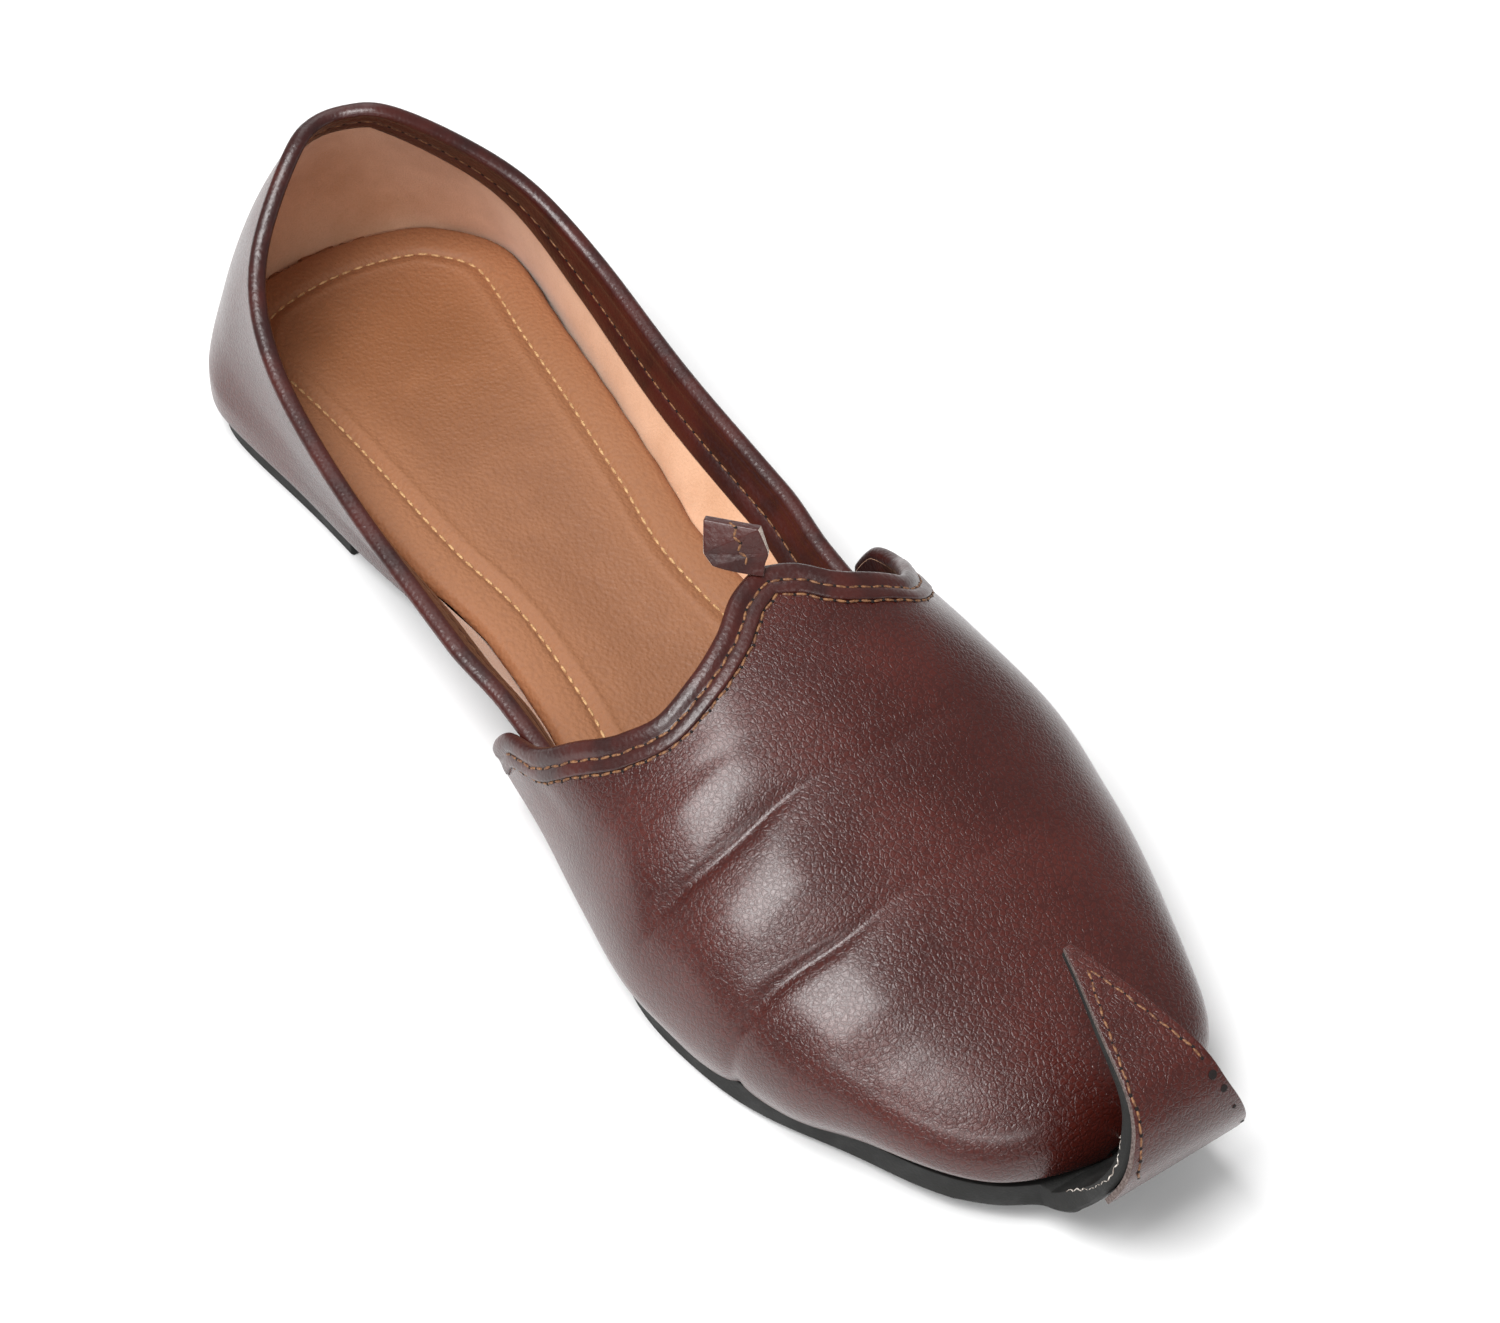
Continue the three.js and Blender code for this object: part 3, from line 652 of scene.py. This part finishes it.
def topline_place(around, depth, out):
    tiny = 1e-3
    rise = np.ones_like(around)
    edge = quarter(around + tiny, rise) - quarter(around - tiny, rise)
    return on_edge(quarter, quarter_normal, around, rise, edge, depth, out)


def band_piece(name, along, place_at, profile, low, high, turned=False):
    """Skin swept along an edge through a section given as depths and distances out."""
    depths, outs = profile
    steps = np.arange(len(depths))

    def place(u, v):
        step = v * (len(depths) - 1)
        closed = np.sqrt(np.clip((1 - np.abs(2 * u - 1)) / closing_share, 0, 1))
        depth = np.interp(step, steps, depths)
        depth = np.where(depth < 0, depth * closed, depth)
        out = -wall / 2 + (np.interp(step, steps, outs) + wall / 2) * closed
        return place_at(low + (high - low) * u, depth, out)

    return grid_piece(name, along, 2 * (len(depths) - 1), place, [edge_leather], turned)


throat_profile = rolled(
    ((5.1, -0.3), (5.05, 0.3), (4.85, 0.55), (4.2, 0.62), (3.4, 0.62), (2.9, 0.5), (2.5, 0.3),
     (2.1, 0.38), (1.7, 0.62), (1.1, 0.88), (0.5, 0.95)),
    ((0.7, -2.1), (4.4, -2.3), (4.6, -1.8)),
    0.95, -wall,
)
throat_edge = band_piece(
    "throat_edge", 260, throat_place, throat_profile, -throat_end, throat_end)
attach(throat_edge, "root")
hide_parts("throat_binding")

topline_profile = rolled(
    ((1.5, -0.2), (1.45, 0.35), (1.0, 0.7), (0.5, 0.8)),
    ((0.8, -2.85), (1.6, -2.6), (2.2, -2.5), (5.2, -2.65), (5.6, -2.45), (5.9, -2.45),
     (6.3, -2.65), (9.5, -2.7), (10.0, -2.5), (10.1, -1.9)),
    0.8, -wall - 0.8,
)
topline_edge = band_piece(
    "topline_edge", 300, topline_place, topline_profile, -topline_end, topline_end, turned=True)
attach(topline_edge, "root")
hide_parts("topline_binding")

# Thread. Rows of tan lockstitches sink a little into the leather, with a small dark dot at each end
# of every stitch, painted shade that stands for the needle hole.
thread_tan = rgb(138, 97, 64)
thread_dark = rgb(88, 56, 38)
thread, tone, shader, place = finish("waxed_thread", roughness=0.6)
twist = tone.noise(place, 0.5, 2)
feed(tone, shader, base_color=twist.clear(0.35, 0.65).blend(thread_tan, thread_dark),
     normal=tone.bump(twist, 0.2 * mm, 0.5))
# Painted shade: each hole is a small, nearly black dot set into the surface, standing for the shade
# inside it.
hole, tone, shader, place = finish("needle_hole_shade", base_color=rgb(24, 13, 12), roughness=0.9)
hole_size = (0.42 * mm, 0.38 * mm, 0.16 * mm, 1)
hole_sunk = 0.12


def row_along(points, pitch):
    """Even places along a line of points, in millimetres, and the line's direction there."""
    run = np.concatenate(([0], np.cumsum(np.linalg.norm(np.diff(points, axis=0), axis=1))))
    stops = np.arange(pitch / 2, run[-1], pitch)

    def at(where):
        return np.stack([np.interp(where, run, points[:, k]) for k in range(3)], -1)

    return at(stops), unit(at(stops + 0.3) - at(stops - 0.3))


def sew(name, rows, pitch, length, thick, yarn=thread, sunk=0.1, yaw=0.0,
        holed=True):
    """Stitches along rows, each a line of points and a function that gives the normals."""
    bm = bmesh.new()
    holes = bmesh.new()
    for points, normal_at in rows:
        places, ways = row_along(points, pitch)
        for k, (place_mm, way, normal) in enumerate(zip(places, ways, normal_at(places))):
            turn = yaw * (-1) ** k
            side = unit(np.cross(normal, way))
            top = np.cross(way, side)
            way = way * math.cos(turn) + side * math.sin(turn)
            side = np.cross(top, way)
            axes = Matrix((way, side, top)).transposed().to_4x4()
            spot = Matrix.Translation(Vector(in_frame(place_mm - top * sunk)))
            size = Matrix.Diagonal((length / 2 * mm, thick / 2 * mm, thick / 2.4 * mm, 1))
            bmesh.ops.create_uvsphere(
                bm, u_segments=10, v_segments=6, radius=1, matrix=spot @ axes @ size)
            end = place_mm + way * pitch / 2 - top * hole_sunk
            dent = Matrix.Translation(Vector(in_frame(end))) @ axes @ Matrix.Diagonal(hole_size)
            bmesh.ops.create_icosphere(holes, subdivisions=1, radius=1, matrix=dent)
    made = [new_piece(name, bm, [yarn])]
    if holed:
        made.append(new_piece(name + "_holes", holes, [hole]))
    for piece in made:
        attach(piece, "root")


def nearest_normal(points, normals):
    """Function that gives, for places near a line of points, the normals of the nearest."""
    tree = KDTree(len(points))
    for k, point in enumerate(points):
        tree.insert(point, k)
    tree.balance()
    return lambda places: [normals[tree.find(place)[1]] for place in places]


def throat_row(depth, out, reach=0.72):
    girth = np.linspace(-reach, reach, 400)
    level = np.full_like(girth, depth)
    points = throat_place(girth, level, np.full_like(girth, out))
    start = station(rim_at(girth))
    normals = vamp_normal(start, girth)
    return points, nearest_normal(points, normals)


sew("throat_stitches", [throat_row(depth=2.5, out=0.42), throat_row(depth=5.35, out=0.1)],
    pitch=2.4, length=2.2, thick=0.55, yaw=0.12)


def topline_row(depth, out, reach=0.93):
    around = np.linspace(-reach, reach, 500)
    points = topline_place(around, np.full_like(around, depth), np.full_like(around, out))
    return points, nearest_normal(points, -quarter_normal(around, np.ones_like(around)))


sew("facing_stitches", [topline_row(depth=5.75, out=-2.55)], pitch=3.1, length=2.6, thick=0.5)

# Insole. Foam over board, covered in tan leather: a raised border with a row of stitches and
# a fine ridge inside it, and a darker middle that the foot has polished.
insole_toe_gap = 9.0
insole_thickness = 4.2
insole_lift = 0.4
insole_skin = 1.8
border = 9.0
border_rise = 0.7
seam_sink = 0.6
ridge_gap = 2.6
ridge_rise = 0.35
middle_sink = 0.5
rim_round = 1.8
rim_level = 2.8
rim_play = 0.3
back_room = 1.1


def inset(angle, gap):
    """Line a distance inside the feather line: how far along, how wide, and its centre."""
    tiny = 1e-3
    run = last_length * (place_of(angle + tiny) - place_of(angle - tiny))
    low = feather_half(np.abs(angle - tiny)) * np.where(angle < tiny, -1, 1)
    spread = feather_half(angle + tiny) - low
    size = np.hypot(run, spread)
    x = last_length * place_of(angle) + gap * spread / size
    half = np.maximum(feather_half(angle) - gap * run / size, 0)
    x = x - insole_toe_gap * smoothstep(x, 0.8 * last_length, last_length)
    return x, half, centre_shift(angle)


def rim_gap(angle):
    """Inset of the insole's edge, which follows the lining's lean at the edge's level."""
    x = last_length * place_of(angle)
    foot = sole_top(x) + seat
    low = feather_half(angle)
    lean = (topline_half(angle) - low) * rim_level / (topline_height(angle) - foot)
    belly = (vamp_full(angle) - low) * (1 - (1 - rim_level / full_height) ** 2)
    share = smoothstep(x, 0.53 * last_length, 0.6 * last_length)
    room = np.maximum((1 - share) * lean + share * belly, 0)
    room = room + back_room * np.clip(1 - x / 30, 0, 1) ** 2
    return wall + rim_play - room * (1 - smoothstep(x, 0.85 * last_length, 0.95 * last_length))


sweep = np.linspace(0, 1, 700)
rim_x, rim_half, rim_shift = inset(sweep, rim_gap(sweep))
rim = np.concatenate([
    np.stack((rim_x, rim_shift + side * rim_half, 0 * rim_x), -1) for side in (-1, 1)])
rim_tree = KDTree(len(rim))
for k, point in enumerate(rim):
    rim_tree.insert(point, k)
rim_tree.balance()


def insole_height(points):
    """Height of the padded top over the floor, from the distance to the insole's edge."""
    flat = points * (1, 1, 0)
    away = np.array([rim_tree.find(point)[2] for point in flat])
    height = sole_top(points[:, 0]) + seat + insole_thickness + insole_lift
    height = height - rim_round * np.clip(1 - away / rim_round, 0, 1) ** 2
    height = height + border_rise * np.sin(np.pi * np.clip(away / border, 0, 1)) ** 0.8
    height = height - seam_sink * np.exp(-((away - border) / 0.7) ** 2)
    height = height + ridge_rise * np.exp(-((away - border - ridge_gap) / 0.8) ** 2)
    return height - middle_sink * smoothstep(away, border + 3, border + 16), away


def insole_place(u, v):
    x, half, shift = inset(u, rim_gap(u))
    points = np.stack((x, shift + (2 * v - 1) * half, 0 * x), -1)
    points[:, 2] = insole_height(points)[0]
    return points


insole_tan = rgb(147, 98, 66)
insole_worn = rgb(132, 86, 56)
insole_pore = rgb(120, 80, 58)
insole_cover, tone, shader, place = finish("insole_leather", coat_weight=0.08, coat_roughness=0.4)
away = tone.node("ShaderNodeAttribute", "Fac", attribute_name="away")
mottle = tone.noise(place, 14, 4, 0.6)
pores = tone.cells(place, 0.8, "SMOOTH_F1")
fine = tone.noise(place, 0.35, 2)
middle = away.clear(7.0, 22.0)
colour = (middle * mottle.clear(0.25, 0.6, 0.5, 1.0)).blend(insole_tan, insole_worn)
colour = (pores.clear(0.3, 0.8) * 0.25).blend(colour, insole_pore)
grain = tone.bump(pores * -1.0, 0.3 * mm, 0.7)
grain = tone.bump(fine, 0.15 * mm, 0.5, grain)
feed(tone, shader, base_color=colour, roughness=middle.clear(0, 1, 0.7, 0.52), normal=grain)

insole = grid_piece("padded_insole", across=330, along=110, place_at=insole_place,
                    materials=[insole_cover])
corners = np.array([vert.co for vert in insole.data.vertices])
depths = insole.data.attributes.new("away", "FLOAT", "POINT")
depths.data.foreach_set("value", insole_height((corners - back_seam) / mm)[1].astype(np.float32))
line_with(insole, insole_skin, lining_slot=0)
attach(insole, "root")
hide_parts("insole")


def insole_row():
    both = np.concatenate((sweep[::-1], sweep))
    x, half, shift = inset(both, rim_gap(both) + border)
    side = np.repeat((-1, 1), len(sweep))
    points = np.stack((x, shift + side * half, 0 * x), -1)
    points = points[half > 0.5]
    points[:, 2] = insole_height(points)[0]
    return points, lambda places: [np.array((0, 0, 1.0))] * len(places)


pale_thread, tone, shader, place = finish("pale_thread", roughness=0.7)
twist = tone.noise(place, 0.5, 2)
feed(tone, shader, base_color=twist.clear(0.35, 0.65).blend(rgb(204, 164, 116), rgb(166, 124, 84)),
     normal=tone.bump(twist, 0.2 * mm, 0.5))
sew("insole_stitches", [insole_row()], pitch=2.8, length=2.2, thick=0.6, yarn=pale_thread,
    sunk=-0.12)


# Sole and heel. A black rubber sheet runs from the heel to the toe and curls up over it as a
# nose; the heel is a block of the same rubber, cemented on and cut straight at its breast.
rubber_black = rgb(30, 30, 29)
rubber_grey = rgb(50, 50, 48)
rubber, tone, shader, place = finish("black_rubber", specular_ior_level=0.35)
dust = tone.noise(place, 7, 4, 0.65)
fine = tone.noise(place, 0.5, 3)
colour = (dust.clear(0.45, 0.75) * 0.5).blend(rubber_black, rubber_grey)
feed(tone, shader, base_color=colour, roughness=dust.clear(0.3, 0.7, 0.6, 0.8),
     normal=tone.bump(fine, 0.2 * mm, 0.35))


def dressed_copy(node, name, materials, edge_round=0.3, sharp=38, levels=2, shape=None):
    """Copy of a CAD node with its triangles joined, its sharp edges broken and the rest smooth."""
    bm = bmesh.new()
    bm.from_mesh(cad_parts[node].data)
    bmesh.ops.remove_doubles(bm, verts=bm.verts, dist=0.01 * mm)
    bmesh.ops.join_triangles(bm, faces=bm.faces, angle_face_threshold=math.radians(20),
                             angle_shape_threshold=math.radians(120))
    if shape:
        shape(bm)
    edges = [edge for edge in bm.edges if edge.calc_face_angle(0) > math.radians(sharp)]
    bmesh.ops.bevel(bm, geom=edges, offset=edge_round * mm, offset_type="OFFSET", segments=2,
                    profile=0.5, affect="EDGES", material=-1, clamp_overlap=True)
    piece = new_piece(name, bm, materials)
    finer = piece.modifiers.new("finer", "SUBSURF")
    finer.levels = levels
    finer.render_levels = levels
    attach(piece, "root")
    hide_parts(node)
    return piece


sole_piece = dressed_copy("outsole", "rubber_sole", [rubber])
heel_piece = dressed_copy("heel", "rubber_heel", [rubber])

# Nose strap. A tapered strap of the upper's leather is cemented to the outer face of the nose
# and sewn down in a V; its cut edges show grey.
cut_edge, tone, shader, place = finish("cut_edge", roughness=0.8)
fibre = tone.noise(place, 0.4, 3)
feed(tone, shader, base_color=fibre.clear(0.3, 0.7).blend(rgb(112, 100, 96), rgb(70, 56, 52)),
     normal=tone.bump(fibre, 0.2 * mm, 0.6))


def cut_sides(bm):
    """Bares the cut edge on the faces that stand across the leather."""
    broad = max(bm.faces, key=lambda face: face.calc_area()).normal.copy()
    for face in bm.faces:
        beside = abs(face.normal.dot(broad)) < 0.35 and abs(face.normal.y) > 0.6
        face.material_index = int(beside)


strap = dressed_copy(
    "toe_strap", "nose_strap", [leather, cut_edge], edge_round=0.2, shape=cut_sides)


def seen_on(piece, pixels):
    """Line on a piece where the photograph shows it, with the piece's normals along it."""
    corners = [corner.co for corner in piece.data.vertices]
    tree = BVHTree.FromPolygons(corners, [face.vertices[:] for face in piece.data.polygons])
    points, normals = [], []
    for (x0, y0), (x1, y1) in zip(pixels, pixels[1:]):
        for share in (k / 12 for k in range(12)):
            pixel = (x0 + (x1 - x0) * share, y0 + (y1 - y0) * share)
            spot, normal, index, distance = tree.ray_cast(eye, sight(pixel))
            if spot is not None:
                points.append((np.array(spot) - back_seam) / mm)
                normals.append(np.array(normal))
    points = np.array(points)
    return points, nearest_normal(points, normals)


sew("strap_stitches", [
    seen_on(strap, ((899, 965), (911, 1002), (922, 1032), (933, 1063), (945, 1097), (947, 1124),
                    (944, 1152))),
    seen_on(strap, ((901, 966), (926, 983), (956, 1006), (987, 1030), (1000, 1043))),
], pitch=2.3, length=2.1, thick=0.5, yaw=0.1)
# Punched holes near the strap's tip: dark dots of painted shade, set into the strap's surface.
bm = bmesh.new()
for x, y, size in ((1009, 1058, 0.85), (1019, 1070, 0.7), (1028, 1086, 0.4), (1035, 1099, 0.4)):
    points, normal_at = seen_on(strap, ((x, y), (x + 1, y + 1)))
    facing = Vector(normal_at(points)[0]).to_track_quat("Z", "Y").to_matrix().to_4x4()
    spot = Matrix.Translation(Vector(in_frame(points[0]))) @ facing
    dent = Matrix.Diagonal((size * mm, size * mm, hole_sunk * mm, 1))
    bmesh.ops.create_icosphere(bm, subdivisions=2, radius=1, matrix=spot @ dent)
punches = new_piece("strap_holes", bm, [hole])
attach(punches, "root")

# Fibres. Ends of the canvas backing and threads of dried cement show pale along the cut edge
# of the rubber, where the nose leaves the upper.
fibres, tone, shader, place = finish("pale_fibres", roughness=0.9)
feed(tone, shader, base_color=tone.noise(place, 0.6, 2).clear(0.35, 0.65).blend(
    rgb(206, 198, 190), rgb(120, 108, 100)))
sew("fibre_edge", [
    seen_on(sole_piece, ((881, 1161), (902, 1160), (918, 1151), (925, 1137),
                         (928, 1120), (929, 1104))),
], pitch=1.1, length=1.5, thick=0.28, yarn=fibres, yaw=0.35, holed=False)

# Tab. Two layers of leather sewn back to back stand on the peak of the throat, with pale cut
# edges and a seam up the middle.
pale_edge, tone, shader, place = finish("pale_edge", roughness=0.85)
fibre = tone.noise(place, 0.4, 3)
feed(tone, shader, base_color=fibre.clear(0.3, 0.7).blend(rgb(222, 210, 200), rgb(176, 156, 142)),
     normal=tone.bump(fibre, 0.2 * mm, 0.6))
tab_lean = math.radians(32)
tab_root = 1.3
root_band = 0.3
root_spread = 1.35


def shape_tab(bm):
    """Sinks the tab's foot into the rolled edge and bares its cut edges below the top."""
    rise = Vector((-math.sin(tab_lean), 0, math.cos(tab_lean)))
    foot = min(vert.co.dot(rise) for vert in bm.verts)
    low = [vert for vert in bm.verts if vert.co.dot(rise) < foot + root_band * mm]
    middle = sum((vert.co for vert in low), Vector()) / len(low)
    for vert in low:
        vert.co = middle + (vert.co - middle) * root_spread - rise * tab_root * mm
    bm.normal_update()
    broad = max(bm.faces, key=lambda face: face.calc_area()).normal.copy()
    for face in bm.faces:
        beside = abs(face.normal.dot(broad)) < 0.5 and face.normal.dot(rise) < 0.5
        face.material_index = int(beside)


tab = dressed_copy("throat_tab", "tab", [edge_leather, pale_edge], edge_round=0.15, sharp=12,
                   levels=1, shape=shape_tab)
sew("tab_seam", [seen_on(tab, ((585, 571), (592, 594), (601, 613)))],
    pitch=1.5, length=1.9, thick=0.55, yaw=0.55)
